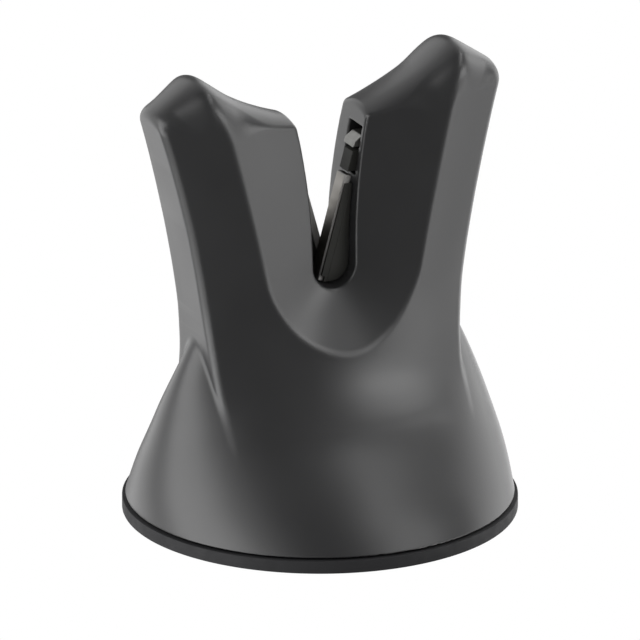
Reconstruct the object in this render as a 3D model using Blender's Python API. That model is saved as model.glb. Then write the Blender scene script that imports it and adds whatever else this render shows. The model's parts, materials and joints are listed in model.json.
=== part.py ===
"""Pull-through knife sharpener on a suction base, built from its separate pieces.

Frame: +Z up, origin at the middle of the underside, front towards -Y. Metres.
The pad is drawn up (locked) at rest; turning the lever lets the pad's middle down.
"""

from math import cos, pi, radians, sin

import bmesh
import bpy
from mathutils import Matrix, Vector

MM = 0.001
GAP = 0.3 * MM                       # clearance between neighbouring pieces

# Outside of the body -------------------------------------------------------------------
PAD_RADIUS = 32.0 * MM
SHELL_BOTTOM = 2.4 * MM
SHOULDER = 32.0 * MM                 # the skirt's sides end here, on the arms' side faces
BODY_TOP = 79.0 * MM                 # above the arms' tips, which the outline then cuts
WALL = 2.6 * MM

# Each row: height, then half length along X of the skirt (mm)
SKIRT_X = ((2.4, 31.3), (6, 31.1), (10, 30.5), (15, 29.3), (20, 27.8), (25, 25.9), (28, 24.5), (32, 22.6))
# Height, then half depth along Y in the middle of the front (mm)
FRONT_Y = ((2.4, 31.3), (6, 27.3), (10, 23.9), (12.9, 21.4), (16, 18.6), (20, 15.9), (25, 13.3),
           (30, 11.6), (36, 11.1), (79, 10.7))
# Height, half length along X of the flat side face, its half depth along Y (mm)
SIDE_FACE = ((2.4, 21.6, 20.0), (10, 21.6, 14.5), (18, 21.6, 11.3), (24, 21.8, 7.9), (29, 22.2, 6.4),
             (37, 23.1, 5.3), (44, 24.2, 5.2), (51, 25.5, 5.2), (58, 27.1, 5.0), (65, 28.9, 4.7),
             (70, 30.4, 4.4), (79, 33.0, 3.9))

# V slot, notch and arm tips, right half of the front outline, from the slot's foot up (mm)
SLOT_FOOT_RADIUS = 3.7
SLOT_FOOT_HEIGHT = 42.4
SLOT_SIDE = ((42.4, 3.7), (47.6, 3.75), (51.0, 3.95), (54.5, 4.22), (57.9, 4.63), (61.4, 5.15), (64.9, 5.78),
             (66.8, 6.15))           # height, half width of the slot
ARM_TOP = ((6.9, 67.5), (9.5, 68.5), (13.0, 70.0), (16.5, 71.8), (19.5, 74.0), (21.5, 75.5), (22.7, 76.0),
           (23.9, 75.6), (26.5, 74.0), (29.0, 72.2), (30.2, 71.2), (30.7, 70.0))

# Scoop in the front and in the back of the arms
WEB_HALF = 5.4                       # half depth left at the slot's foot (mm)
WEB_TAPER = 0.038                    # the web thins towards the top
SCOOP_SLOPE = 0.30
SCOOP_SWEEP = 3.5                    # extra depth of the scoop at its lower end (mm)
SCOOP_SWEEP_TOP, SCOOP_SWEEP_SPAN = 50.0, 20.0

# Suction lock ----------------------------------------------------------------------------
LIFT = 2.5 * MM                      # travel of the pad's middle
LEVER_TURN = radians(80)
LEVER_REST = radians(50)             # the lever's direction at rest, from +X
ROD_RADIUS = 3.0 * MM
TUBE_RADIUS = 4.7 * MM
HUB_RADIUS = 10.8 * MM
HUB_FLOOR = 9.4 * MM
ARM_HEIGHT = 2.0 * MM
RAMP_LOW = 11.6 * MM
PIN_RADIUS = 1.5 * MM
PIN_HEIGHT = RAMP_LOW + LIFT + GAP + PIN_RADIUS
PLATE_TOP = 6.0 * MM
CUP_TOP = 8.2 * MM
BRIDGE_X = 14.0 * MM
BRIDGE_ROOF = 26.8 * MM
SCREW_RADIUS = 1.2 * MM
BASE_SCREWS = {"front": (0.0, -20.5 * MM), "left": (-22.5 * MM, 2.0 * MM), "right": (22.5 * MM, 2.0 * MM)}

# Cutters, right-hand one, in the XZ plane (mm) ---------------------------------------------
EDGE_TOP = Vector((3.02, 57.0))
EDGE_FOOT = Vector((-1.72, 40.1))
CUTTER_WIDTH = 1.2
CUTTER_FRONT, CUTTER_BACK = -3.1 * MM, -0.15 * MM
HOLDER_FRONT = -3.75 * MM
POCKET_FLOOR, POCKET_ROOF, POCKET_DEPTH = 56.8, 64.8, 10.0
POCKET_FRONT, POCKET_BACK = -3.4 * MM, 0.95 * MM
BLOCK_TOP = 61.2
NECK = (57.45, 58.5)                  # heights of the neck between the holder's strip and its block


def clear_scene():
    for obj in list(bpy.data.objects):
        bpy.data.objects.remove(obj, do_unlink=True)


def material(name, colour, roughness, metallic=0.0):
    made = bpy.data.materials.new(name)
    made.use_nodes = True
    shader = made.node_tree.nodes["Principled BSDF"]
    shader.inputs["Base Color"].default_value = (*colour, 1.0)
    shader.inputs["Roughness"].default_value = roughness
    shader.inputs["Metallic"].default_value = metallic
    return made


def add_object(name, shape, finish=None, smooth_angle=35):
    """Turns a bmesh into a named object with its faces pointing out."""
    bmesh.ops.recalc_face_normals(shape, faces=shape.faces)
    mesh = bpy.data.meshes.new(name)
    shape.to_mesh(mesh)
    shape.free()
    mesh.shade_smooth()
    mesh.set_sharp_from_angle(angle=radians(smooth_angle))
    obj = bpy.data.objects.new(name, mesh)
    bpy.context.scene.collection.objects.link(obj)
    if finish:
        mesh.materials.append(finish)
    else:
        obj.hide_render = True
        obj.display_type = "WIRE"
    return obj


def boolean(obj, tool, operation):
    step = obj.modifiers.new(tool.name, "BOOLEAN")
    step.operation = operation
    step.solver = "EXACT"
    step.object = tool


def interpolate(rows, height_mm, column=1):
    """Value in a column of a table of heights, on straight lines between its rows."""
    for low, high in zip(rows, rows[1:]):
        if height_mm <= high[0]:
            share = max(0.0, (height_mm - low[0]) / (high[0] - low[0]))
            return low[column] + share * (high[column] - low[column])
    return rows[-1][column]


def loft(rings):
    """A closed skin over rings of points, lowest ring first."""
    shape = bmesh.new()
    rows = [[shape.verts.new(point) for point in ring] for ring in rings]
    count = len(rings[0])
    for low, high in zip(rows, rows[1:]):
        for i in range(count):
            j = (i + 1) % count
            shape.faces.new((low[i], low[j], high[j], high[i]))
    shape.faces.new(rows[0][::-1])
    shape.faces.new(rows[-1])
    return shape


def turned(profile, segments=48):
    """A solid of revolution about Z from a closed outline of (radius, height) points."""
    shape = bmesh.new()
    rows = []
    for radius, height in profile:
        if radius < 1e-7:
            rows.append([shape.verts.new((0, 0, height))] * segments)
        else:
            rows.append([shape.verts.new((radius * cos(2 * pi * i / segments),
                                          radius * sin(2 * pi * i / segments), height))
                         for i in range(segments)])
    for a, b in zip(rows, rows[1:] + rows[:1]):
        for i in range(segments):
            j = (i + 1) % segments
            corners = []
            for vert in (a[i], a[j], b[j], b[i]):
                if vert not in corners:
                    corners.append(vert)
            if len(corners) > 2:
                shape.faces.new(corners)
    return shape


def prism(outline, low, high, axis="Y"):
    """An outline pulled along an axis. In the XZ plane for Y, in the XY plane for Z."""
    shape = bmesh.new()
    place = (lambda u, v, d: (u, d, v)) if axis == "Y" else (lambda u, v, d: (u, v, d))
    near = [shape.verts.new(place(u, v, low)) for u, v in outline]
    far = [shape.verts.new(place(u, v, high)) for u, v in outline]
    shape.faces.new(near)
    shape.faces.new(far[::-1])
    for i in range(len(outline)):
        j = (i + 1) % len(outline)
        shape.faces.new((near[i], near[j], far[j], far[i]))
    return shape


def box(low, high):
    outline = ((low[0], low[2]), (high[0], low[2]), (high[0], high[2]), (low[0], high[2]))
    return prism(outline, low[1], high[1])


def upright_cylinder(centre, radius, low, high, segments=16):
    shape = turned(((0, low), (radius, low), (radius, high), (0, high)), segments)
    bmesh.ops.translate(shape, verts=shape.verts, vec=(centre[0], centre[1], 0))
    return shape


# Body --------------------------------------------------------------------------------------

def skirt_depth(x_mm, height_mm, inset=0.0):
    """Half depth of the oval skirt at a distance x from the middle."""
    long_half = interpolate(SKIRT_X, height_mm) - inset
    deep_half = interpolate(FRONT_Y, height_mm) - inset
    return deep_half * max(0.0, 1 - (x_mm / long_half) ** 2) ** 0.5


def outer_ring(height_mm, across=4, along=11):
    """A quarter outline of the body, from the side (+X) round to the back (+Y), mirrored round."""
    side = interpolate(SIDE_FACE, height_mm)
    corner = interpolate(SIDE_FACE, height_mm, 2)
    middle = interpolate(FRONT_Y, height_mm)
    below_shoulder = height_mm * MM < SHOULDER
    quarter = []
    for i in range(across):
        y = corner * i / across
        x = side
        if below_shoulder:
            oval = interpolate(SKIRT_X, height_mm) * max(0.0, 1 - (y / middle) ** 2) ** 0.5
            x = max(side, oval)
        quarter.append((x, y))
    for i in range(along + 1):
        x = side * (1 - i / along)
        y = middle - (middle - corner) * (x / side) ** 2
        if below_shoulder:
            y = max(y, skirt_depth(x, height_mm))
        quarter.append((x, y))
    ring = quarter + [(-x, y) for x, y in quarter[-2::-1]]
    ring += [(x, -y) for x, y in ring[-2:0:-1]]
    return [(x * MM, y * MM, height_mm * MM) for x, y in ring]


def outer_block():
    heights = (2.4, 5, 8, 11, 14, 17, 20, 22.5, 25, 28, 30.5, 32, 34, 37, 41, 46, 51, 58, 65, 70, 79)
    return loft([outer_ring(height) for height in heights])


def slot_half_width(height_mm):
    """Half width of the slot above its round foot."""
    return interpolate(SLOT_SIDE, height_mm)


def outline_cutter():
    """Everything above the arms and inside the V slot."""
    foot = [(SLOT_FOOT_RADIUS * cos(radians(a)), SLOT_FOOT_HEIGHT + SLOT_FOOT_RADIUS * sin(radians(a)))
            for a in range(-90, 1, 15)]
    slot = [(half, height) for height, half in SLOT_SIDE[1:]]
    right = foot + slot + list(ARM_TOP) + [(36.0, 69.6), (36.0, 90.0)]
    outline = right + [(-x, z) for x, z in right[:0:-1]]
    return prism([(x * MM, z * MM) for x, z in outline], -50 * MM, 50 * MM)


def scoop_depth(x_mm, height_mm):
    """Half depth left by the scoop: it rises away from the slot's outline."""
    if height_mm > SLOT_FOOT_HEIGHT:
        away = abs(x_mm) - slot_half_width(height_mm)
    else:
        away = (x_mm ** 2 + (height_mm - SLOT_FOOT_HEIGHT) ** 2) ** 0.5 - SLOT_FOOT_RADIUS
    web = WEB_HALF - WEB_TAPER * max(0.0, height_mm - SLOT_FOOT_HEIGHT)
    sweep = SCOOP_SWEEP * (max(0.0, SCOOP_SWEEP_TOP - height_mm) / SCOOP_SWEEP_SPAN) ** 2
    return web + SCOOP_SLOPE * max(away, -3.0) + sweep


def scoop_cutter(side):
    """The block in front of the scoop (side -1) or behind it (side 1)."""
    columns = [-27 + 3 * i for i in range(19)]
    rows = [24, 26.5, 29, 31, 33, 35, 37, 39, 41, 43, 46, 50, 55, 61, 68, 82]
    shape = bmesh.new()
    face = [[shape.verts.new((x * MM, side * scoop_depth(x, z) * MM, z * MM)) for x in columns]
            for z in rows]
    back = [[shape.verts.new((x * MM, side * 45 * MM, z * MM)) for x in columns] for z in rows]
    last_row, last_column = len(rows) - 1, len(columns) - 1
    for grid in (face, back):
        for r in range(last_row):
            for c in range(last_column):
                shape.faces.new((grid[r][c], grid[r][c + 1], grid[r + 1][c + 1], grid[r + 1][c]))
    for r in range(last_row):
        for c in (0, last_column):
            shape.faces.new((face[r][c], face[r + 1][c], back[r + 1][c], back[r][c]))
    for c in range(last_column):
        for r in (0, last_row):
            shape.faces.new((face[r][c], face[r][c + 1], back[r][c + 1], back[r][c]))
    return shape


def cavity_block():
    """The hollow under the skirt, open at the bottom."""
    rings = []
    inset = WALL / MM
    for height in (1.0, 2.4, 4, 6, 9, 12, 16, 20, 24, 28, 30.2):
        level = max(height, SHELL_BOTTOM / MM)
        long_half = interpolate(SKIRT_X, level) - inset
        deep_half = interpolate(FRONT_Y, level) - inset
        rings.append([(long_half * cos(2 * pi * i / 40) * MM, deep_half * sin(2 * pi * i / 40) * MM,
                       height * MM) for i in range(40)])
    return loft(rings)


def arm_core(side):
    """The tapered hollow inside one arm, reached from the skirt's hollow."""
    foot = ((11.0, -5.2), (19.0, -5.2), (19.0, 5.2), (11.0, 5.2))
    tip = ((14.0, -2.5), (25.2, -2.5), (25.2, 2.5), (14.0, 2.5))
    return loft([[(side * x * MM, y * MM, 29.0 * MM) for x, y in foot],
                 [(side * x * MM, y * MM, 66.0 * MM) for x, y in tip]])


def lever_window():
    """The slot in the back of the skirt that the lever sweeps through."""
    half = LEVER_TURN / 2 + radians(11)
    angles = [pi / 2 - half + 2 * half * i / 16 for i in range(17)]
    outline = [(40 * MM * cos(a), 40 * MM * sin(a)) for a in angles]
    outline += [(13 * MM * cos(a), 13 * MM * sin(a)) for a in reversed(angles)]
    clear = 0.5 * MM
    return prism(outline, HUB_FLOOR - clear, HUB_FLOOR + ARM_HEIGHT + clear, "Z")


def pocket_cutter(side):
    """The pocket in a slot wall that holds the cutter holder's block and the wedge."""
    shape = box((3.0 * MM, POCKET_FRONT, POCKET_FLOOR * MM),
                (POCKET_DEPTH * MM, POCKET_BACK, POCKET_ROOF * MM))
    if side < 0:
        bmesh.ops.rotate(shape, verts=shape.verts, matrix=Matrix.Rotation(pi, 3, "Z"))
    return shape


def body_shell(plastic):
    hollow = add_object("hollow_tool", cavity_block())
    for name, centre in BASE_SCREWS.items():
        post = upright_cylinder(centre, 3.3 * MM, PLATE_TOP + GAP, 33 * MM, 20)
        boolean(hollow, add_object(f"post_{name}_tool", post), "DIFFERENCE")
    shell = add_object("body_shell", outer_block(), plastic)
    boolean(shell, add_object("outline_tool", outline_cutter()), "DIFFERENCE")
    for side in (-1, 1):
        boolean(shell, add_object(f"scoop_tool_{side}", scoop_cutter(side)), "DIFFERENCE")
    boolean(shell, hollow, "DIFFERENCE")
    for side in (-1, 1):
        boolean(shell, add_object(f"core_tool_{side}", arm_core(side)), "DIFFERENCE")
        boolean(shell, add_object(f"pocket_tool_{side}", pocket_cutter(side)), "DIFFERENCE")
    boolean(shell, add_object("window_tool", lever_window()), "DIFFERENCE")
    for name, centre in BASE_SCREWS.items():
        hole = upright_cylinder(centre, SCREW_RADIUS + GAP, 1 * MM, 10.2 * MM, 12)
        boolean(shell, add_object(f"pilot_{name}_tool", hole), "DIFFERENCE")
    return shell


# Base ----------------------------------------------------------------------------------------

def suction_pad(rubber):
    profile = ((0, 2.8), (8, 2.6), (14, 1.8), (20, 0.8), (25, 0.1), (26, 0), (31.4, 0), (PAD_RADIUS / MM, 0.6),
               (PAD_RADIUS / MM, 1.6), (31.5, 2.1), (27, 2.1), (22, 2.5), (14, 3.2), (9, 3.7), (8.2, 4.0),
               (8.2, 5.6), (6.3, 5.6), (6.3, 4.1), (0, 4.1))
    return add_object("suction_pad", turned([(r * MM, z * MM) for r, z in profile], 56), rubber)


def base_plate(plastic):
    tube_top = 15.7
    profile = ((28.0, 2.4), (28.0, 2.6), (24.1, PLATE_TOP / MM), (11, PLATE_TOP / MM), (11, CUP_TOP / MM),
               (TUBE_RADIUS / MM, CUP_TOP / MM), (TUBE_RADIUS / MM, tube_top), (ROD_RADIUS / MM + 0.3, tube_top),
               (ROD_RADIUS / MM + 0.3, 6.4), (9.5, 6.4), (9.5, 4.1), (14, 3.6), (22, 2.9), (27, 2.4))
    plate = add_object("base_plate", turned([(r * MM, z * MM) for r, z in profile], 48), plastic)
    half = PIN_RADIUS + GAP
    slot = box((-8 * MM, -half, 11.0 * MM), (8 * MM, half, 17 * MM))
    boolean(plate, add_object("pin_slot_tool", slot), "DIFFERENCE")
    for name, centre in BASE_SCREWS.items():
        cut_screw_seat(plate, name, centre, 4.4 * MM)
    for side in (-1, 1):
        cut_screw_seat(plate, f"bridge_{side}", (side * BRIDGE_X, 0.0), 4.9 * MM)
    return plate


def cut_screw_seat(plate, name, centre, seat_height):
    seat = upright_cylinder(centre, 2.9 * MM, 1 * MM, seat_height, 20)
    hole = upright_cylinder(centre, SCREW_RADIUS + GAP, 1 * MM, 8 * MM, 12)
    boolean(plate, add_object(f"seat_{name}_tool", seat), "DIFFERENCE")
    boolean(plate, add_object(f"hole_{name}_tool", hole), "DIFFERENCE")


def screw(name, centre, head_top, length, steel):
    """A pan head screw pointing up, with a square drive in the underside of its head."""
    head_low = head_top - 1.0 * MM
    profile = ((0, head_low), (2.0 * MM, head_low), (2.5 * MM, head_low + 0.4 * MM), (2.5 * MM, head_top),
               (SCREW_RADIUS, head_top), (SCREW_RADIUS, head_top + length - 0.8 * MM),
               (0.3 * MM, head_top + length), (0, head_top + length))
    shape = turned(profile, 16)
    bmesh.ops.translate(shape, verts=shape.verts, vec=(centre[0], centre[1], 0))
    obj = add_object(name, shape, steel)
    drive = 0.7 * MM
    recess = box((centre[0] - drive, centre[1] - drive, head_low - 1 * MM),
                 (centre[0] + drive, centre[1] + drive, head_low + 0.6 * MM))
    boolean(obj, add_object(f"{name}_drive_tool", recess), "DIFFERENCE")


def thrust_washer(steel):
    profile = ((5.0, 8.5), (10.6, 8.5), (10.6, 9.1), (5.0, 9.1))
    add_object("thrust_washer", turned([(r * MM, z * MM) for r, z in profile], 40), steel)


# Lock ------------------------------------------------------------------------------------------

def ramp_height(angle):
    """Height of the hub's top at an angle from the cross pin, lever at rest; it repeats each half turn."""
    slope = LIFT / LEVER_TURN
    step, flat, drop = radians(12), radians(12), radians(20)
    local = (angle + LEVER_TURN + step) % pi - LEVER_TURN - step
    if local <= -LEVER_TURN:
        return RAMP_LOW
    if local <= 0:
        return RAMP_LOW + LIFT + slope * local
    if local <= flat:
        return RAMP_LOW + LIFT
    if local <= drop:
        return RAMP_LOW + LIFT * (drop - local) / (drop - flat)
    return RAMP_LOW


def hub_with_ramps():
    segments = 90
    inner, outer = TUBE_RADIUS + GAP, HUB_RADIUS
    shape = bmesh.new()
    rows = []
    for i in range(segments):
        angle = 2 * pi * i / segments
        top = ramp_height(angle)
        points = ((inner, HUB_FLOOR), (outer, HUB_FLOOR), (outer, top), (inner, top))
        rows.append([shape.verts.new((r * cos(angle), r * sin(angle), z)) for r, z in points])
    for a, b in zip(rows, rows[1:] + rows[:1]):
        for k in range(4):
            m = (k + 1) % 4
            shape.faces.new((a[k], a[m], b[m], b[k]))
    return shape


def turned_to_lever(shape):
    bmesh.ops.rotate(shape, verts=shape.verts, matrix=Matrix.Rotation(LEVER_REST, 3, "Z"))
    return shape


def lock_lever(plastic):
    lever = add_object("lock_lever", hub_with_ramps(), plastic)
    top = HUB_FLOOR + ARM_HEIGHT
    outline = ((7.0, -5.5), (12.0, -3.8), (30.6, -3.2), (30.6, 3.2), (12.0, 3.8), (7.0, 5.5))
    arm = prism([(x * MM, y * MM) for x, y in outline], HUB_FLOOR + 0.02 * MM, top, "Z")
    boolean(lever, add_object("arm_tool", turned_to_lever(arm)), "UNION")
    return lever


def lever_grip(plastic):
    low, high = HUB_FLOOR - 1.4 * MM, HUB_FLOOR + ARM_HEIGHT + 1.4 * MM
    inner, outer, half = 28.1 * MM, 31.7 * MM, radians(9.5)
    angles = [-half + half * i / 5 for i in range(11)]
    outline = [(outer * cos(a), outer * sin(a)) for a in angles]
    outline += [(inner * cos(a), inner * sin(a)) for a in reversed(angles)]
    grip = add_object("lever_grip", turned_to_lever(prism(outline, low, high, "Z")), plastic)
    pocket = box((26 * MM, -3.5 * MM, HUB_FLOOR - GAP), (30.9 * MM, 3.5 * MM, HUB_FLOOR + ARM_HEIGHT + GAP))
    boolean(grip, add_object("grip_pocket_tool", turned_to_lever(pocket)), "DIFFERENCE")
    return grip


def pad_stud(steel):
    profile = ((0, 4.4), (6.0, 4.4), (6.0, 5.4), (ROD_RADIUS / MM, 5.4), (ROD_RADIUS / MM, 18.3), (2.0, 18.3),
               (2.0, 22.4), (1.5, 23.0), (0, 23.0))
    stud = add_object("pad_stud", turned([(r * MM, z * MM) for r, z in profile], 24), steel)
    hole = upright_cylinder((0, 0), PIN_RADIUS + GAP, -6 * MM, 6 * MM, 16)
    bmesh.ops.rotate(hole, verts=hole.verts, matrix=Matrix.Rotation(pi / 2, 3, "Y"))
    bmesh.ops.translate(hole, verts=hole.verts, vec=(0, 0, PIN_HEIGHT))
    boolean(stud, add_object("pin_hole_tool", hole), "DIFFERENCE")
    return stud


def cross_pin(steel):
    end, chamfer = 10.3 * MM, 0.3 * MM
    profile = ((0, -end), (PIN_RADIUS - chamfer, -end), (PIN_RADIUS, -end + chamfer),
               (PIN_RADIUS, end - chamfer), (PIN_RADIUS - chamfer, end), (0, end))
    shape = turned(profile, 20)
    bmesh.ops.rotate(shape, verts=shape.verts, matrix=Matrix.Rotation(pi / 2, 3, "Y"))
    bmesh.ops.translate(shape, verts=shape.verts, vec=(0, 0, PIN_HEIGHT))
    add_object("cross_pin", shape, steel)


def spring_seat(steel):
    profile = ((2.3, 18.6), (5.4, 18.6), (5.4, 19.5), (2.3, 19.5))
    add_object("spring_seat", turned([(r * MM, z * MM) for r, z in profile], 32), steel)


def return_spring(steel):
    wire, radius, turns, steps = 0.45 * MM, 3.9 * MM, 5, 14
    low, high = 19.8 * MM + wire, BRIDGE_ROOF - GAP - wire
    count = turns * steps
    curve = bpy.data.curves.new("return_spring", "CURVE")
    curve.dimensions = "3D"
    curve.bevel_depth = wire
    curve.bevel_resolution = 1
    curve.use_fill_caps = True
    line = curve.splines.new("POLY")
    line.points.add(count)
    for i, point in enumerate(line.points):
        angle = 2 * pi * i / steps
        point.co = (radius * cos(angle), radius * sin(angle), low + (high - low) * i / count, 1)
    obj = bpy.data.objects.new("return_spring", curve)
    bpy.context.scene.collection.objects.link(obj)
    curve.materials.append(steel)


def mechanism_bridge(plastic):
    half, foot = 16.7 * MM, PLATE_TOP + GAP
    outline = ((-half, foot), (-11.4 * MM, foot), (-11.4 * MM, BRIDGE_ROOF), (11.4 * MM, BRIDGE_ROOF),
               (11.4 * MM, foot), (half, foot), (half, BRIDGE_ROOF), (half - 2.2 * MM, BRIDGE_ROOF + 2.2 * MM),
               (-half + 2.2 * MM, BRIDGE_ROOF + 2.2 * MM), (-half, BRIDGE_ROOF))
    bridge = add_object("mechanism_bridge", prism(outline, -4 * MM, 4 * MM), plastic)
    for side in (-1, 1):
        hole = upright_cylinder((side * BRIDGE_X, 0), SCREW_RADIUS + GAP, 1 * MM, 13.0 * MM, 12)
        boolean(bridge, add_object(f"bridge_pilot_tool_{side}", hole), "DIFFERENCE")
    return bridge


# Cutters ---------------------------------------------------------------------------------------

def left_and_right(name, shape_maker, finish=None):
    """The right-hand piece, and the same piece turned half a turn about Z as the left-hand one."""
    pieces = []
    for word in ("right", "left"):
        shape = shape_maker()
        if word == "left":
            bmesh.ops.rotate(shape, verts=shape.verts, matrix=Matrix.Rotation(pi, 3, "Z"))
        pieces.append(add_object(f"{word}_{name}", shape, finish))
    return pieces


def edge_point(height_mm, across):
    """A point at a height and at a distance behind the working edge, square to it."""
    along = (EDGE_TOP - EDGE_FOOT).normalized()
    square = Vector((along.y, -along.x))
    share = (height_mm - EDGE_FOOT.y) / (EDGE_TOP.y - EDGE_FOOT.y)
    return EDGE_FOOT.lerp(EDGE_TOP, share) + square * across


def flat_piece(points, front, back):
    return prism([(x * MM, z * MM) for x, z in points], front, back)


def cutter_bar():
    foot, top = EDGE_FOOT.y, EDGE_TOP.y
    points = (edge_point(foot, 0), edge_point(foot, CUTTER_WIDTH), edge_point(top, CUTTER_WIDTH),
              edge_point(top, 0))
    return flat_piece(points, CUTTER_FRONT, CUTTER_BACK)


def holder_side(first_angle, top, clear):
    """The holder's edge along the round foot of the slot and up its wall to a height."""
    radius = SLOT_FOOT_RADIUS - clear
    foot = [(radius * sin(radians(a)), SLOT_FOOT_HEIGHT - radius * cos(radians(a)))
            for a in range(first_angle, 91, 14)]
    heights = [height for height, _ in SLOT_SIDE if SLOT_FOOT_HEIGHT < height < top] + [top]
    return foot + [(slot_half_width(height) - clear, height) for height in heights]


def holder_wall():
    """The part of the holder that lies in the slot, behind the cutter."""
    behind = CUTTER_WIDTH + 0.35
    points = holder_side(6, 52.2, 0.3) + [edge_point(52.2, behind), edge_point(41.0, behind)]
    return flat_piece(points, HOLDER_FRONT + 0.05 * MM, CUTTER_BACK)


def holder_lip():
    """The strip of the holder in front of the cutter, with a narrow end up to the neck."""
    top = NECK[1]
    narrow = [(slot_half_width(height) - 0.95, height) for height in (top, 56.6)]
    points = holder_side(20, top, 0.35) + narrow + [edge_point(56.6, 0.35), edge_point(41.6, 0.35)]
    return flat_piece(points, HOLDER_FRONT, CUTTER_FRONT - GAP)


def holder_neck():
    """Joins the strip to the block, above the cutter's end."""
    low, high = NECK
    high -= 0.1
    points = [(slot_half_width(low) - 0.9, low), (slot_half_width(high) - 0.9, high),
              (slot_half_width(high) - 0.4, high), (slot_half_width(low) - 0.4, low)]
    return flat_piece(points, HOLDER_FRONT + 0.1 * MM, CUTTER_FRONT + 0.3 * MM)


def holder_block():
    """The part of the holder that goes into the pocket above the cutter."""
    low = EDGE_TOP.y + 0.35
    points = (edge_point(low, 0.25), edge_point(BLOCK_TOP, 0.25), (9.6, BLOCK_TOP), (9.6, low))
    return flat_piece(points, CUTTER_FRONT, CUTTER_BACK - 0.05 * MM)


def cutter_holders(plastic):
    holders = left_and_right("cutter_holder", holder_wall, plastic)
    for tool_shape in (holder_lip, holder_neck, holder_block):
        for holder, tool in zip(holders, left_and_right(f"{tool_shape.__name__}_tool", tool_shape)):
            boolean(holder, tool, "UNION")


def wedge():
    low, high = BLOCK_TOP + 0.35, POCKET_ROOF - 0.6
    points = (edge_point(low, 0.1), (9.6, low), (9.6, high), (6.4, high), edge_point(high - 1.0, 0.1))
    return flat_piece(points, CUTTER_FRONT, 0.5 * MM)


def main():
    clear_scene()
    shell_plastic = material("shell_plastic", (0.10, 0.10, 0.10), 0.38)
    inner_plastic = material("inner_plastic", (0.03, 0.03, 0.03), 0.5)
    rubber = material("pad_rubber", (0.02, 0.02, 0.02), 0.7)
    steel = material("steel", (0.6, 0.6, 0.58), 0.3, 1.0)
    hard_metal = material("hard_metal", (0.42, 0.40, 0.38), 0.35, 1.0)

    body_shell(shell_plastic)
    suction_pad(rubber)
    base_plate(inner_plastic)
    for name, centre in BASE_SCREWS.items():
        screw(f"base_screw_{name}", centre, 4.1 * MM, 5.4 * MM, steel)
    mechanism_bridge(inner_plastic)
    for side, word in ((-1, "left"), (1, "right")):
        screw(f"bridge_screw_{word}", (side * BRIDGE_X, 0.0), 4.6 * MM, 7.8 * MM, steel)
    thrust_washer(steel)
    lock_lever(inner_plastic)
    lever_grip(inner_plastic)
    pad_stud(steel)
    cross_pin(steel)
    spring_seat(steel)
    return_spring(steel)
    cutter_holders(inner_plastic)
    left_and_right("cutter", cutter_bar, hard_metal)
    left_and_right("wedge", wedge, steel)


main()
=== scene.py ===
"""Looks of the suction-base knife sharpener: the moulded body, the cutters, the rubber pad and the lever,
with their materials, on a pale studio floor. Shapes are worked out in millimetres and made in metres."""

import json

from math import atan2, cos, pi, radians, sin, tan

import bmesh
import bpy
import numpy as np
from mathutils import Matrix, Vector


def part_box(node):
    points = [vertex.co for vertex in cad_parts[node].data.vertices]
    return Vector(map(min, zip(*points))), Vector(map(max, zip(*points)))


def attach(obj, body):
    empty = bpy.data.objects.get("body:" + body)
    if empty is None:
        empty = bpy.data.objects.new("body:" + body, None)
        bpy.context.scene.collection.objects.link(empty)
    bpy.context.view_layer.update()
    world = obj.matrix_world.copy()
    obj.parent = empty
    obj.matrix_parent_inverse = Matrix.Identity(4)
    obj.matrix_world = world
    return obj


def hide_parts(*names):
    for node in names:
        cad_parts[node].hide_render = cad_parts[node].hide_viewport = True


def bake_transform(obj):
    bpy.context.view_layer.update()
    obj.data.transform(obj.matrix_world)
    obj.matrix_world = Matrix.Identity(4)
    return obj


MM = 0.001

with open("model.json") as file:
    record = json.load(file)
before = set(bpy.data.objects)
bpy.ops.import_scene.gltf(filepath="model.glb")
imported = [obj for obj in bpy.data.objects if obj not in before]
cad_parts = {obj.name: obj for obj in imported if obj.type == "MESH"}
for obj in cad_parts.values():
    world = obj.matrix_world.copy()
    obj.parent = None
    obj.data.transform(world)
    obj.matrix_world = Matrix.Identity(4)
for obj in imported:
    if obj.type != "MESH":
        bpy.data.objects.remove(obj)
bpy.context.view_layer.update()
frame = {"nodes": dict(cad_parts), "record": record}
nodes = frame["nodes"]

# Body outside, the same stations as in the CAD model (mm) ----------------------------------------
SHELL_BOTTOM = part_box("body_shell")[0].z / MM
PAD_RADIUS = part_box("suction_pad")[1].x / MM
WALL = 2.6
CAVITY_ROOF = 30.2
SKIRT_X = ((2.4, 31.5), (6, 31.4), (10, 30.8), (15, 29.4), (20, 27.8), (25, 25.9), (28, 24.5), (32, 22.6),
           (36, 20.0), (40, 15.0), (44, 8.0))
FRONT_Y = ((2.4, 31.5), (6, 27.5), (10, 24.0), (12.9, 21.4), (16, 18.6), (20, 15.9), (25, 13.3),
           (30, 11.6), (36, 11.1), (79, 10.7))
SIDE_FACE = ((2.4, 21.6, 20.0), (10, 21.6, 14.5), (18, 21.6, 11.3), (24, 21.8, 7.9), (29, 22.2, 6.4),
             (37, 23.1, 5.3), (44, 24.2, 5.2), (51, 25.5, 5.2), (58, 27.1, 5.0), (65, 28.9, 4.7),
             (70, 30.4, 4.4), (79, 33.0, 3.9))
SLOT_FOOT_RADIUS, SLOT_FOOT_HEIGHT = 3.7, 42.7
SLOT_SIDE = ((42.4, 3.7), (47.6, 3.75), (51.0, 3.95), (54.5, 4.22), (57.9, 4.63), (61.4, 5.15), (64.9, 5.78),
             (66.8, 6.15))
ARM_TOP = ((0.0, 66.2), (6.4, 67.9), (9.5, 68.95), (13.0, 70.45), (16.5, 72.35), (19.5, 74.6), (22.7, 77.0),
           (30.3, 71.8), (38.0, 66.4))
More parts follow.
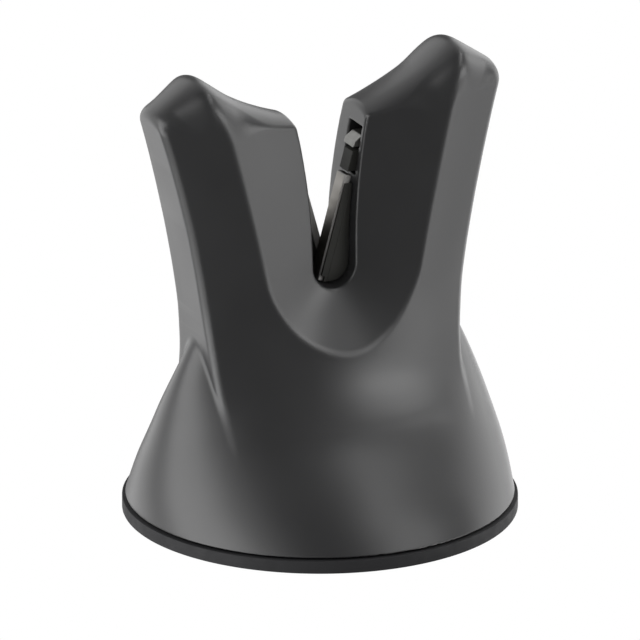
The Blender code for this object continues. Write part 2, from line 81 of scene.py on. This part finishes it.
# Radius of the arm's top, front to back
ARM_CROWN = ((0.0, 11.0), (16.0, 11.0), (19.5, 12.0), (23.0, 9.5), (27.0, 7.4), (38.0, 7.4))
WEB_HALF, WEB_TAPER = 5.4, 0.038
SCOOP_SLOPE = ((29, 0.305), (31, 0.332), (33.5, 0.376), (36.5, 0.41), (40, 0.40), (44, 0.36), (50, 0.33),
               (56, 0.304), (61, 0.29), (67, 0.275))
SCOOP_SWEEP, SCOOP_SWEEP_TOP, SCOOP_SWEEP_SPAN = 3.4, 43.0, 13.0

# Edge roundings of the moulding: width of the blend between two faces (mm)
SIDE_EDGE, TIP_EDGE, TIP_CORNER, NOTCH_EDGE = 1.15, 2.9, 1.5, 0.7
SLOT_EDGE, RIDGE_EDGE, SKIRT_JOIN, SKIRT_JOIN_FRONT, SKIRT_FOOT_EDGE = 0.45, 0.4, 0.5, 0.04, 0.35
SIDE_LAP = 0.06                     # the side faces stand out by this, as their edges are rounded off


# Small helpers -----------------------------------------------------------------------------------

def ease(value, start, end):
    """0 before start, 1 after end, smooth between."""
    t = np.clip((value - start) / (end - start), 0, 1)
    return t * t * (3 - 2 * t)


def smooth_max(a, b, width):
    overlap = np.maximum(width - np.abs(a - b), 0)
    return np.maximum(a, b) + overlap * overlap / (4 * width)


def smooth_min(a, b, width):
    return -smooth_max(-a, -b, width)


def curve_through(rows, column=1, softness=1.6):
    """A smooth curve of one column against the first one: straight lines, rounded at their joints."""
    step = 0.1
    places = np.arange(-20, 100, step)
    at = np.array([row[0] for row in rows], float)
    values = np.array([row[column] for row in rows], float)
    line = np.interp(places, at, values)
    below, above = places < at[0], places > at[-1]
    line[below] = values[0] + (places[below] - at[0]) * (values[1] - values[0]) / (at[1] - at[0])
    line[above] = values[-1] + (places[above] - at[-1]) * (values[-1] - values[-2]) / (at[-1] - at[-2])
    reach = np.arange(-3 * softness, 3 * softness + step, step)
    kernel = np.exp(-reach ** 2 / (2 * softness ** 2))
    smooth = np.convolve(np.pad(line, len(reach) // 2, mode="edge"), kernel / kernel.sum(), "valid")
    return lambda place: np.interp(place, places, smooth[:len(places)])


# The body as a field: below 0 inside the plastic -------------------------------------------------

skirt_x = curve_through(SKIRT_X)
front_y = curve_through(FRONT_Y)
side_x = curve_through(SIDE_FACE)
side_y = curve_through(SIDE_FACE, 2)
arm_top = curve_through(ARM_TOP, softness=1.0)
arm_crown = curve_through(ARM_CROWN, softness=1.0)
slot_half_width = curve_through(SLOT_SIDE)
scoop_slope = curve_through(SCOOP_SLOPE)


def beside_slot(x, z):
    """Distance away from the slot's outline, in the front view."""
    low = np.sqrt(x * x + (z - SLOT_FOOT_HEIGHT) ** 2) - SLOT_FOOT_RADIUS
    return np.where(z > SLOT_FOOT_HEIGHT, np.abs(x) - slot_half_width(z), low)


def oval(x, y, long_half, deep_half):
    """About the distance outside an oval."""
    u, v = x / long_half, y / deep_half
    size = np.sqrt(u * u + v * v) + 1e-6
    return size * (size - 1) / (np.sqrt((u / long_half) ** 2 + (v / deep_half) ** 2) + 1e-6)


def outside_field(x, y, z):
    across, depth = np.abs(x), np.abs(y)
    away = beside_slot(x, z)
    side_at, side_half = side_x(z) + SIDE_LAP, side_y(z) + SIDE_LAP
    side = 0.985 * (across - side_at)
    slope = arm_top(across + 0.5) - arm_top(across - 0.5)
    crown = arm_crown(across)
    drop = crown - np.sqrt(np.maximum(crown ** 2 - depth ** 2, 4.0))
    tip = (z - arm_top(across) + drop) / np.sqrt(1 + slope * slope + (depth / crown) ** 2)
    # front and back faces, and the scoop between the arms
    middle = front_y(z)
    flat = middle - (middle - side_half) * (across / side_at) ** 2
    flare = middle * np.sqrt(np.clip(1 - (across / skirt_x(z)) ** 2, 0, 1))
    face = 0.93 * (depth - flare - (flat - flare) * ease(z, 17.0, 27.0)) + 0.9 * (1 - ease(z, 12.0, 18.5))
    web = WEB_HALF - WEB_TAPER * np.maximum(z - SLOT_FOOT_HEIGHT, 0)
    sweep = SCOOP_SWEEP * (np.maximum(SCOOP_SWEEP_TOP - z, 0) / SCOOP_SWEEP_SPAN) ** 2
    scoop = 0.94 * (depth - web - scoop_slope(z) * np.maximum(away, -2.0) - sweep)
    walls = smooth_max(smooth_max(face, scoop, RIDGE_EDGE), side, SIDE_EDGE)
    # the tip's edge is tight at the notch and at the outer end, and soft between them
    tip_edge = SLOT_EDGE + (TIP_EDGE - SLOT_EDGE) * ease(across, 11.0, 18.0)
    tip_edge = tip_edge + (TIP_CORNER - tip_edge) * ease(side - tip, -3.5, -1.0) * ease(across, 18.0, 24.0)
    arms = smooth_max(walls, tip, tip_edge)
    slot_edge = SLOT_EDGE + (NOTCH_EDGE - SLOT_EDGE) * ease(tip, -3.0, 0.0)
    arms = smooth_max(arms, -away, slot_edge)
    # skirt
    deep_half = np.maximum(middle - 2.6 * ease(z, 18.5, 29.5) - 8.0 * ease(z, 32.0, 40.0), 1.0)
    skirt = smooth_max(oval(x, y, np.maximum(skirt_x(z), 1.0), deep_half), scoop, RIDGE_EDGE)
    skirt = smooth_max(skirt, z - 37.0, 2.0)
    join = SKIRT_JOIN_FRONT + (SKIRT_JOIN - SKIRT_JOIN_FRONT) * ease(across, 12.0, 18.0)
    body = smooth_min(arms, skirt, join)
    return smooth_max(body, SHELL_BOTTOM - z, SKIRT_FOOT_EDGE)


def hollow_field(x, y, z):
    """The hollow under the skirt and in the arms, less the three screw posts."""
    across = np.abs(x)
    inner = oval(x, y, np.maximum(skirt_x(z) - WALL, 1.0), np.maximum(front_y(z) - WALL, 1.0))
    hollow = smooth_max(inner, z - CAVITY_ROOF, 2.0)
    rise = (z - 29.0) / 37.0
    core = np.maximum(across - 19.0 - 6.2 * rise, 11.0 + 3.0 * rise - across)
    core = smooth_max(core, np.abs(y) - 5.2 + 2.7 * rise, 1.5)
    core = np.maximum(smooth_max(core, z - 66.0, 1.5), 28.0 - z)
    hollow = np.minimum(hollow, core)
    for name in ("front", "left", "right"):
        low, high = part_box(f"base_screw_{name}")
        centre = (low + high) / (2 * MM)
        reach = np.sqrt((x - centre.x) ** 2 + (y - centre.y) ** 2)
        hollow = smooth_max(hollow, 3.3 - reach, 0.6)
        hollow = np.minimum(hollow, np.maximum(reach - 1.5, z - 10.2))
    return hollow


POCKET_LOW, POCKET_HIGH = (3.0, -3.4, 56.8), (10.0, 0.95, 64.8)


def pocket_field(x, y, z):
    """The pocket that the cutter's wedge sits in, in one arm; the other arm's is half a turn round."""
    walls = [POCKET_LOW[0] - x, x - POCKET_HIGH[0], POCKET_LOW[1] - y, y - POCKET_HIGH[1],
             POCKET_LOW[2] - z, z - POCKET_HIGH[2]]
    field = walls[0]
    for wall in walls[1:]:
        field = np.maximum(field, wall)
    return field


def window_field(x, y, z):
    """The slot at the back of the skirt that the lever sweeps through."""
    low, high = (corner.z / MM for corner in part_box("lock_lever"))
    arm_low, arm_high = low - 0.5, low + 2.5
    half = radians(51)
    sector = np.maximum(np.abs(x) * cos(half) - y * sin(half), 13.0 - np.sqrt(x * x + y * y))
    return smooth_max(sector, np.maximum(arm_low - z, z - arm_high), 0.8)


def body_field(x, y, z):
    field = np.maximum(outside_field(x, y, z), -hollow_field(x, y, z))
    field = smooth_max(field, -pocket_field(x, y, z), 0.35)
    field = smooth_max(field, -pocket_field(-x, -y, z), 0.35)
    return smooth_max(field, -window_field(x, y, z), 0.5)


# Meshing a field ---------------------------------------------------------------------------------

def surface_net(field, low, high, step):
    """One vertex for each cell of a grid that the surface crosses, and a quad for each crossed grid line."""
    axes = [np.arange(a, b + step, step) for a, b in zip(low, high)]
    x, y, z = np.meshgrid(*axes, indexing="ij", sparse=True)
    value = field(x, y, z).astype(np.float32)
    shape = np.array(value.shape)
    inside = value < 0
    cells = tuple(shape - 1)
    total = np.zeros((*cells, 3), np.float32)
    count = np.zeros(cells, np.float32)
    crossings = []
    for axis in range(3):
        first = [slice(None)] * 3
        second = [slice(None)] * 3
        first[axis], second[axis] = slice(0, -1), slice(1, None)
        a, b = value[tuple(first)], value[tuple(second)]
        crossed = inside[tuple(first)] != inside[tuple(second)]
        at = np.argwhere(crossed)
        share = a[crossed] / (a[crossed] - b[crossed])
        point = at.astype(np.float32)
        point[:, axis] += share
        crossings.append((axis, at, inside[tuple(first)][crossed]))
        others = [k for k in range(3) if k != axis]
        for i in (0, 1):
            for j in (0, 1):
                cell = at.copy()
                cell[:, others[0]] -= i
                cell[:, others[1]] -= j
                good = np.all((cell >= 0) & (cell < shape - 1), axis=1)
                where = tuple(cell[good].T)
                np.add.at(total, where, point[good])
                np.add.at(count, where, 1)
    used = count > 0
    number = np.full(cells, -1, np.int64)
    number[used] = np.arange(used.sum())
    vertices = np.array(low) + total[used] / count[used][:, None] * step
    quads = []
    for axis, at, starts_inside in crossings:
        u, v = (axis + 1) % 3, (axis + 2) % 3
        ring = []
        for du, dv in ((-1, -1), (0, -1), (0, 0), (-1, 0)):
            cell = at.copy()
            cell[:, u] += du
            cell[:, v] += dv
            ring.append(number[tuple(cell.T)])
        ring = np.stack(ring, axis=1)
        ring[~starts_inside] = ring[~starts_inside][:, ::-1]
        quads.append(ring)
    return vertices.astype(float), np.concatenate(quads)


def slope_of(field, points, reach=0.04):
    parts = []
    for axis in range(3):
        shift = np.zeros(3)
        shift[axis] = reach
        ahead = field(*(points + shift).T)
        behind = field(*(points - shift).T)
        parts.append((ahead - behind) / (2 * reach))
    return np.stack(parts, axis=1)


def settle(field, points, rounds, most):
    """Moves points onto the surface of the field."""
    for _ in range(rounds):
        slope = slope_of(field, points)
        size = np.maximum((slope ** 2).sum(axis=1), 0.05)
        move = -slope * (field(*points.T) / size)[:, None]
        length = np.linalg.norm(move, axis=1)
        points = points + move * np.minimum(1, most / np.maximum(length, 1e-9))[:, None]
    return points


def mesh_points(mesh):
    points = np.zeros(len(mesh.vertices) * 3)
    mesh.vertices.foreach_get("co", points)
    return points.reshape(-1, 3)


def field_object(name, field, low, high, step, kept_share):
    points, quads = surface_net(field, low, high, step)
    points = settle(field, points, 3, step / 2)
    mesh = bpy.data.meshes.new(name)
    mesh.from_pydata(points.tolist(), [], quads.tolist())
    obj = bpy.data.objects.new(name, mesh)
    bpy.context.scene.collection.objects.link(obj)
    thin = obj.modifiers.new("thin", "DECIMATE")
    thin.ratio = kept_share
    evaluated = obj.evaluated_get(bpy.context.evaluated_depsgraph_get())
    lean = bpy.data.meshes.new_from_object(evaluated)
    obj.modifiers.clear()
    obj.data = lean
    lean.name = name
    bpy.data.meshes.remove(mesh)
    points = settle(field, mesh_points(lean), 2, step / 4)
    normals = slope_of(field, points)
    normals /= np.linalg.norm(normals, axis=1)[:, None]
    lean.vertices.foreach_set("co", (points * MM).ravel())
    lean.shade_smooth()
    lean.update()
    lean.normals_split_custom_set_from_vertices(normals.tolist())
    return obj


# Materials ---------------------------------------------------------------------------------------

def new_material(name, colour, roughness, metallic=0.0):
    material = bpy.data.materials.new(name)
    material.use_nodes = True
    shader = material.node_tree.nodes["Principled BSDF"]
    shader.inputs["Base Color"].default_value = (*colour, 1)
    shader.inputs["Roughness"].default_value = roughness
    shader.inputs["Metallic"].default_value = metallic
    return material


def texture_coordinates(material, stretch=(1, 1, 1)):
    tree = material.node_tree
    place = tree.nodes.new("ShaderNodeTexCoord")
    mapping = tree.nodes.new("ShaderNodeMapping")
    mapping.inputs["Scale"].default_value = stretch
    tree.links.new(place.outputs["Object"], mapping.inputs["Vector"])
    return mapping.outputs["Vector"]


def noise(material, vector, scale, detail=3.0):
    tree = material.node_tree
    node = tree.nodes.new("ShaderNodeTexNoise")
    node.inputs["Scale"].default_value = scale
    node.inputs["Detail"].default_value = detail
    tree.links.new(vector, node.inputs["Vector"])
    return node.outputs["Fac"]


def vary(material, source, socket, low, high):
    """Links a value that runs from low to high with the source, to one of the shader's inputs."""
    tree = material.node_tree
    node = tree.nodes.new("ShaderNodeMapRange")
    node.inputs["From Min"].default_value = 0.3
    node.inputs["From Max"].default_value = 0.7
    node.inputs["To Min"].default_value = low
    node.inputs["To Max"].default_value = high
    tree.links.new(source, node.inputs["Value"])
    tree.links.new(node.outputs["Result"], tree.nodes["Principled BSDF"].inputs[socket])


def vary_colour(material, source, dark, light):
    tree = material.node_tree
    node = tree.nodes.new("ShaderNodeMix")
    node.data_type = "RGBA"
    node.inputs["A"].default_value = (*dark, 1)
    node.inputs["B"].default_value = (*light, 1)
    tree.links.new(source, node.inputs["Factor"])
    tree.links.new(node.outputs["Result"], tree.nodes["Principled BSDF"].inputs["Base Color"])


def add_bump(material, source, height, strength=1.0):
    tree = material.node_tree
    node = tree.nodes.new("ShaderNodeBump")
    node.inputs["Distance"].default_value = height
    node.inputs["Strength"].default_value = strength
    tree.links.new(source, node.inputs["Height"])
    tree.links.new(node.outputs["Normal"], tree.nodes["Principled BSDF"].inputs["Normal"])


def moulded_plastic(name, dark, light, roughness, grain_height):
    material = new_material(name, light, roughness)
    vector = texture_coordinates(material)
    cloud = noise(material, vector, 60)
    grain = noise(material, vector, 3200, 2.0)
    vary_colour(material, cloud, dark, light)
    vary(material, cloud, "Roughness", roughness - 0.03, roughness + 0.03)
    add_bump(material, grain, grain_height)
    return material


def rubber_material():
    material = new_material("pad_rubber", (0.014, 0.014, 0.015), 0.7)
    vector = texture_coordinates(material)
    vary_colour(material, noise(material, vector, 90), (0.011, 0.011, 0.012), (0.016, 0.016, 0.017))
    vary(material, noise(material, vector, 400), "Roughness", 0.62, 0.76)
    material.node_tree.nodes["Principled BSDF"].inputs["Specular IOR Level"].default_value = 0.2
    add_bump(material, noise(material, vector, 1800), 0.00002)
    return material


def ground_metal(name, dark, light, roughness, stretch):
    """Ground or brushed metal, with its scratches along one axis."""
    material = new_material(name, light, roughness, 1.0)
    vector = texture_coordinates(material, stretch)
    scratches = noise(material, vector, 900, 4.0)
    vary_colour(material, scratches, dark, light)
    vary(material, scratches, "Roughness", roughness - 0.08, roughness + 0.10)
    add_bump(material, scratches, 0.00001)
    return material


shell_plastic = moulded_plastic("shell_plastic", (0.0105, 0.0105, 0.011), (0.0145, 0.0145, 0.015), 0.36,
                                0.000006)
inner_plastic = moulded_plastic("inner_plastic", (0.016, 0.016, 0.016), (0.022, 0.022, 0.022), 0.45,
                                0.000012)
pad_rubber = rubber_material()
steel = ground_metal("plated_steel", (0.50, 0.50, 0.48), (0.62, 0.62, 0.60), 0.32, (1, 1, 0.1))
hard_metal = ground_metal("ground_hard_metal", (0.19, 0.18, 0.17), (0.25, 0.24, 0.22), 0.42, (1, 0.08, 1))
matt_metal = ground_metal("matt_hard_metal", (0.24, 0.235, 0.225), (0.32, 0.31, 0.30), 0.65, (1, 1, 1))
matt_metal.node_tree.nodes["Principled BSDF"].inputs["Metallic"].default_value = 0.25
wedge_metal = ground_metal("cast_wedge_metal", (0.15, 0.15, 0.145), (0.22, 0.22, 0.21), 0.48, (1, 1, 1))
dark_plastic = moulded_plastic("holder_plastic", (0.019, 0.019, 0.017), (0.024, 0.024, 0.022), 0.6, 0.000010)
dark_plastic.node_tree.nodes["Principled BSDF"].inputs["Specular IOR Level"].default_value = 0.13

SLOT_MATERIALS = {"shell_plastic": shell_plastic, "inner_plastic": inner_plastic, "rubber": pad_rubber,
                  "steel": steel, "hard_metal": hard_metal}
for part in frame["record"]["subparts"]:
    mesh = nodes[part["node"]].data
    mesh.materials.clear()
    mesh.materials.append(SLOT_MATERIALS[part["material_slot"]])


def place_piece(obj, material, slot, body, *replaced):
    obj.data.materials.clear()
    obj.data.materials.append(material)
    if replaced:
        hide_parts(*replaced)
    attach(obj, body)


# Body --------------------------------------------------------------------------------------------

GRID_STEP, KEPT_SHARE = ((0.32, 0.3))
shell = field_object("moulded_shell", body_field, (-33, -33, 1.2), (33, 33, 78.6), GRID_STEP, KEPT_SHARE)
place_piece(shell, shell_plastic, "shell_plastic", "body", "body_shell")


# Suction pad, spring and grip --------------------------------------------------------------------

def turned_object(name, profile, segments):
    """A profile of (radius, height) in mm turned about Z. A point at radius 0 closes it at the axis."""
    shape = bmesh.new()
    rings = []
    for radius, height in profile:
        if radius == 0:
            rings.append([shape.verts.new((0, 0, height * MM))])
        else:
            angles = [2 * pi * i / segments for i in range(segments)]
            points = [(radius * cos(a) * MM, radius * sin(a) * MM, height * MM) for a in angles]
            rings.append([shape.verts.new(point) for point in points])
    for low, high in zip(rings, rings[1:] + rings[:1]):
        if len(low) == 1 and len(high) == 1:
            continue
        for i in range(segments):
            j = (i + 1) % segments
            corners = [low[i % len(low)], low[j % len(low)], high[j % len(high)], high[i % len(high)]]
            unique = [v for k, v in enumerate(corners) if v not in corners[:k]]
            shape.faces.new(unique)
    bmesh.ops.recalc_face_normals(shape, faces=shape.faces)
    mesh = bpy.data.meshes.new(name)
    shape.to_mesh(mesh)
    shape.free()
    mesh.shade_smooth()
    obj = bpy.data.objects.new(name, mesh)
    bpy.context.scene.collection.objects.link(obj)
    return obj


def rounded_profile(corners, radius, steps=4):
    """The corners of a closed profile, each one turned into an arc."""
    points = []
    count = len(corners)
    for i, corner in enumerate(corners):
        here = Vector(corner)
        before, after = Vector(corners[i - 1]) - here, Vector(corners[(i + 1) % count]) - here
        reach = min(radius, before.length / 2.2, after.length / 2.2)
        start, end = here + before.normalized() * reach, here + after.normalized() * reach
        for k in range(steps + 1):
            t = k / steps
            points.append(tuple(start * (1 - t) ** 2 + here * (2 * t * (1 - t)) + end * t ** 2))
    return points


def add_pad():
    """The rubber pad: a rim that stays put, and a membrane drawn in one shape, bowed up with its middle
    raised.
    """
    rim = ((27.0, 0.0), (PAD_RADIUS, 0.0), (PAD_RADIUS, 2.1), (27.0, 2.1))
    obj = turned_object("pad_rim", rounded_profile(rim, 0.15), 192)
    place_piece(obj, pad_rubber, "rubber", "body", "suction_pad")
    under = [(r, 2.8 * (1 - ease(r, 0.0, 25.5))) for r in np.arange(1.0, 26.0, 1.0)]
    over = [(r, 2.1 + 2.0 * (1 - ease(r, 6.0, 26.0))) for r in np.arange(26.0, 9.0, -1.0)]
    cup = [(8.4, 3.95), (8.2, 4.3), (8.2, 5.4), (8.0, 5.6), (6.5, 5.6), (6.3, 5.4), (6.3, 4.1), (0, 4.1)]
    profile = [(0, 2.8), *under, (26.9, 0.05), (26.9, 2.05), *over, *cup]
    obj = turned_object("pad_membrane", profile, 96)
    obj.data.materials.append(pad_rubber)
    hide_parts("suction_pad")
    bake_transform(obj)


def add_spring():
    """A round wire helix with closed end turns, pressed between the stud's seat and the bridge."""
    low, high = (corner.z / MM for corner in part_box("return_spring"))
    wire, radius, turns, steps = 0.45, 3.9, 5.5, 40
    curve = bpy.data.curves.new("fine_spring", "CURVE")
    curve.dimensions = "3D"
    curve.bevel_depth = wire * MM
    curve.bevel_resolution = 4
    curve.use_fill_caps = True
    line = curve.splines.new("POLY")
    count = int(turns * steps)
    line.points.add(count)
    for i, point in enumerate(line.points):
        angle = 2 * pi * i / steps
        rise = ease(i / count, 0.0, 1.0) * 0.5 + 0.5 * i / count
        height = low + wire + (high - low - 2 * wire) * rise
        point.co = (radius * cos(angle) * MM, radius * sin(angle) * MM, height * MM, 1)
    maker = bpy.data.objects.new("spring_maker", curve)
    bpy.context.scene.collection.objects.link(maker)
    mesh = bpy.data.meshes.new_from_object(maker.evaluated_get(bpy.context.evaluated_depsgraph_get()))
    bpy.data.objects.remove(maker)
    mesh.shade_smooth()
    obj = bpy.data.objects.new("fine_spring", mesh)
    bpy.context.scene.collection.objects.link(obj)
    mesh.materials.clear()
    mesh.materials.append(steel)
    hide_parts("return_spring")
    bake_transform(obj)


# Cutter holders and wedges -----------------------------------------------------------------------

cutter_low, cutter_high = (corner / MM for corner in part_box("right_cutter"))
CUTTER_WIDTH, CUTTER_LEAN = 1.2, radians(15.67)
EDGE_FOOT = Vector((cutter_low.x, cutter_low.z + CUTTER_WIDTH * sin(CUTTER_LEAN)))
EDGE_TOP = Vector((cutter_high.x - CUTTER_WIDTH * cos(CUTTER_LEAN), cutter_high.z))


def edge_point(height, behind):
    """A point (x, z) at a height and at a distance behind the right cutter's working edge."""
    share = (height - EDGE_FOOT.y) / (EDGE_TOP.y - EDGE_FOOT.y)
    return EDGE_FOOT.lerp(EDGE_TOP, share) + Vector((cos(CUTTER_LEAN), -sin(CUTTER_LEAN))) * behind


def slot_side(first_angle, top, clear):
    """Points just inside the slot, round its foot and up its right wall."""
    radius = SLOT_FOOT_RADIUS - clear
    points = [(radius * sin(radians(a)), SLOT_FOOT_HEIGHT - radius * cos(radians(a)))
              for a in range(first_angle, 91, 5)]
    heights = np.arange(SLOT_FOOT_HEIGHT + 1, top, 1.0)
    return points + [(float(slot_half_width(h)) - clear, h) for h in (*heights, top)]


def slabs_object(name, slabs, edge, segments):
    """Flat slabs in the XZ plane, each an outline with its front and back, with rounded edges."""
    shape = bmesh.new()
    for outline, front, back in slabs:
        near = [shape.verts.new((x * MM, front * MM, z * MM)) for x, z in outline]
        far = [shape.verts.new((x * MM, back * MM, z * MM)) for x, z in outline]
        shape.faces.new(near)
        shape.faces.new(far[::-1])
        for i, corner in enumerate(near):
            j = (i + 1) % len(near)
            shape.faces.new((corner, far[i], far[j], near[j]))
    bmesh.ops.recalc_face_normals(shape, faces=shape.faces)
    mesh = bpy.data.meshes.new(name)
    shape.to_mesh(mesh)
    shape.free()
    obj = bpy.data.objects.new(name, mesh)
    bpy.context.scene.collection.objects.link(obj)
    round_edges(obj, edge, segments)
    return obj


def round_edges(obj, width, segments):
    bevel = obj.modifiers.new("edges", "BEVEL")
    bevel.width = width * MM
    bevel.segments = segments
    bevel.limit_method = "ANGLE"
    bevel.angle_limit = radians(32)
    bevel.harden_normals = True
    obj.data.shade_smooth()


def finish_bar_ends(obj):
    """The narrow front and back of a cutter bar, and its broken edges, are left matt."""
    obj.data.materials.append(matt_metal)
    for polygon in obj.data.polygons:
        if abs(polygon.normal.y) > 0.5:
            polygon.material_index = 1
    obj.modifiers["edges"].material = 1


def add_cutter_parts():
    """The holder and the wedge beside each cutter; the left ones are the right ones turned half round."""
    behind = CUTTER_WIDTH + 0.1
    bar = [edge_point(39.7, -0.08), edge_point(57.0, -0.08), edge_point(57.0, CUTTER_WIDTH),
           edge_point(39.7, CUTTER_WIDTH)]
    wall = slot_side(16, 55.5, 0.3) + [edge_point(55.5, behind), edge_point(40.2, behind)]
    lip = slot_side(6, 55.6, 0.36) + [edge_point(55.6, 0.15), edge_point(40.6, 0.15), edge_point(40.5, 0.75),
                                      edge_point(39.7, 0.75)]
    block = [edge_point(57.5, 0.2), edge_point(60.8, 0.2), (9.5, 60.8), (9.5, 57.5)]
    wedge = [edge_point(61.4, 0.1), edge_point(62.35, 0.2), (6.0, 63.2), (9.5, 63.2), (9.5, 61.4)]
    slabs = {"cutter": ((bar, -3.1, -0.15),),
             "holder": ((wall, -3.55, -0.2), (lip, -3.5, -3.13), (block, -3.2, -0.2)),
             "wedge": ((wedge, -3.1, 0.45),)}
    looks = {"cutter": (hard_metal, "hard_metal", "cutter", 0.2, 1),
             "holder": (dark_plastic, "inner_plastic", "cutter_holder", 0.09, 2),
             "wedge": (wedge_metal, "steel", "wedge", 0.14, 2)}
    for kind, shapes in slabs.items():
        material, slot, node, edge, segments = looks[kind]
        for side, turn in (("right", 0.0), ("left", pi)):
            obj = slabs_object(f"{side}_{kind}_fine", shapes, edge, segments)
            obj.data.transform(Matrix.Rotation(turn, 4, "Z"))
            place_piece(obj, material, slot, "body", f"{side}_{node}")
            if kind == "cutter":
                finish_bar_ends(obj)


GRIP_HALF_ANGLE, GRIP_INNER, GRIP_OUTER = radians(9.5), 28.1, 31.4
RIB_PITCH, RIB_HEIGHT = radians(2.5), 0.3


def add_grip():
    """The lever's grip: a curved pad with upright ribs on its outer face."""
    low, high = (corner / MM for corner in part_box("lever_grip"))
    facing = atan2(low.y + high.y, low.x + high.x)
    outline = []
    for i in range(97):
        angle = GRIP_HALF_ANGLE * (i / 48 - 1)
        fade = 1 - ease(abs(angle), 0.7 * GRIP_HALF_ANGLE, 0.85 * GRIP_HALF_ANGLE)
        radius = GRIP_OUTER + float(RIB_HEIGHT * fade * (0.5 + 0.5 * cos(2 * pi * angle / RIB_PITCH)))
        outline.append((radius * cos(facing + angle), radius * sin(facing + angle)))
    for i in range(17):
        angle = facing + GRIP_HALF_ANGLE * (1 - i / 8)
        outline.append((GRIP_INNER * cos(angle), GRIP_INNER * sin(angle)))
    obj = slabs_object("grip_fine", ((outline, -high.z, -low.z),), 0.45, 4)
    obj.data.transform(Matrix.Rotation(-pi / 2, 4, "X"))
    place_piece(obj, inner_plastic, "inner_plastic", "lever", "lever_grip")


EDGE_WIDTHS = {"base_plate": 0.2, "mechanism_bridge": 0.3, "lock_lever": 0.25,
               "cross_pin": 0.15, "pad_stud": 0.12, "spring_seat": 0.1, "thrust_washer": 0.08}

add_pad()
add_spring()
add_cutter_parts()
add_grip()
for node_name, edge_width in EDGE_WIDTHS.items():
    round_edges(nodes[node_name], edge_width, 3)


# Camera, light and floor -------------------------------------------------------------------------

CAMERA_AZIMUTH, CAMERA_ELEVATION = radians(-26.0), radians(19.8)
CAMERA_DISTANCE, VIEW_WIDTH, AIM_HEIGHT = 3.0, 0.10306, 0.03169


def add_camera():
    data = bpy.data.cameras.new("camera")
    data.sensor_width = 36
    data.lens = data.sensor_width * CAMERA_DISTANCE / VIEW_WIDTH
    data.clip_start, data.clip_end = 0.1, 20
    camera = bpy.data.objects.new("camera", data)
    bpy.context.scene.collection.objects.link(camera)
    back = Vector((sin(CAMERA_AZIMUTH) * cos(CAMERA_ELEVATION), -cos(CAMERA_AZIMUTH) * cos(CAMERA_ELEVATION),
                   sin(CAMERA_ELEVATION)))
    camera.location = Vector((0, 0, AIM_HEIGHT)) + back * CAMERA_DISTANCE
    camera.rotation_euler = back.to_track_quat("Z", "Y").to_euler()
    bpy.context.scene.camera = camera


def add_panel(name, azimuth, elevation, wide, high, power):
    """A soft panel aimed at the object. Azimuth 0 is in front, 90 at the right; wide and high are angles."""
    data = bpy.data.lights.new(name, "AREA")
    data.shape = "RECTANGLE"
    data.size = 2 * PANEL_DISTANCE * tan(radians(wide / 2))
    data.size_y = 2 * PANEL_DISTANCE * tan(radians(high / 2))
    data.energy = power
    lamp = bpy.data.objects.new(name, data)
    bpy.context.scene.collection.objects.link(lamp)
    a, e = radians(azimuth), radians(elevation)
    back = Vector((sin(a) * cos(e), -cos(a) * cos(e), sin(e)))
    lamp.location = Vector((0, 0, 0.04)) + back * PANEL_DISTANCE
    lamp.rotation_euler = back.to_track_quat("Z", "Y").to_euler()
    lamp.visible_camera = False


def add_world(brightness):
    world = bpy.data.worlds.new("studio")
    world.use_nodes = True
    world.node_tree.nodes["Background"].inputs["Color"].default_value = (1, 1, 1, 1)
    world.node_tree.nodes["Background"].inputs["Strength"].default_value = brightness
    bpy.context.scene.world = world


FLOOR_DROP = -0.0001                    # keeps the floor clear of the pad's underside


def add_floor():
    """A pale floor that glows a little, so that no shadow shows on it."""
    shape = bmesh.new()
    bmesh.ops.create_circle(shape, cap_ends=True, segments=96, radius=4.0)
    mesh = bpy.data.meshes.new("floor")
    shape.to_mesh(mesh)
    shape.free()
    floor = bpy.data.objects.new("floor", mesh)
    bpy.context.scene.collection.objects.link(floor)
    material = new_material("floor", (0.9, 0.9, 0.9), 0.9)
    tree = material.node_tree
    path = tree.nodes.new("ShaderNodeLightPath")
    glow = tree.nodes.new("ShaderNodeEmission")
    glow.inputs["Strength"].default_value = 1.0
    mix = tree.nodes.new("ShaderNodeMixShader")
    tree.links.new(path.outputs["Is Camera Ray"], mix.inputs["Fac"])
    tree.links.new(tree.nodes["Principled BSDF"].outputs["BSDF"], mix.inputs[1])
    tree.links.new(glow.outputs["Emission"], mix.inputs[2])
    tree.links.new(mix.outputs["Shader"], tree.nodes["Material Output"].inputs["Surface"])
    mesh.materials.append(material)
    floor.visible_diffuse = False
    floor.visible_glossy = False
    floor.visible_shadow = False
    floor.location.z = FLOOR_DROP


PANEL_DISTANCE = 1.2
# name, azimuth, elevation, width and height in degrees, power in watts. The places and sizes were chosen.
# The powers came from a least-squares fit and were rounded; three of them were then changed.
PANELS = (("left", -92, 5, 46, 80, 28.0), ("behind_left", -161, 5, 44, 80, 9.0),
          ("left_rear", -122, -5, 24, 60, 2.7), ("left_front_low", -57, -20, 20, 30, 2.9),
          ("left_front_high", -57, 35, 20, 40, 1.5), ("front_high", 42, 21, 32, 15, 4.8),
          ("front_right", 48, -12, 26, 44, 5.1), ("right_front", 72, 0, 22, 56, 2.5),
          ("right", 100, 0, 30, 60, 7.8), ("right_high", 68, 57, 54, 14, 4.8),
          ("behind_right", 132, 5, 26, 70, 4.8), ("behind_high", 170, 55, 50, 30, 2.0))

add_camera()
add_world(0.25)
add_floor()
for panel in PANELS:
    add_panel(*panel)

bpy.context.scene.view_settings.view_transform = "Standard"
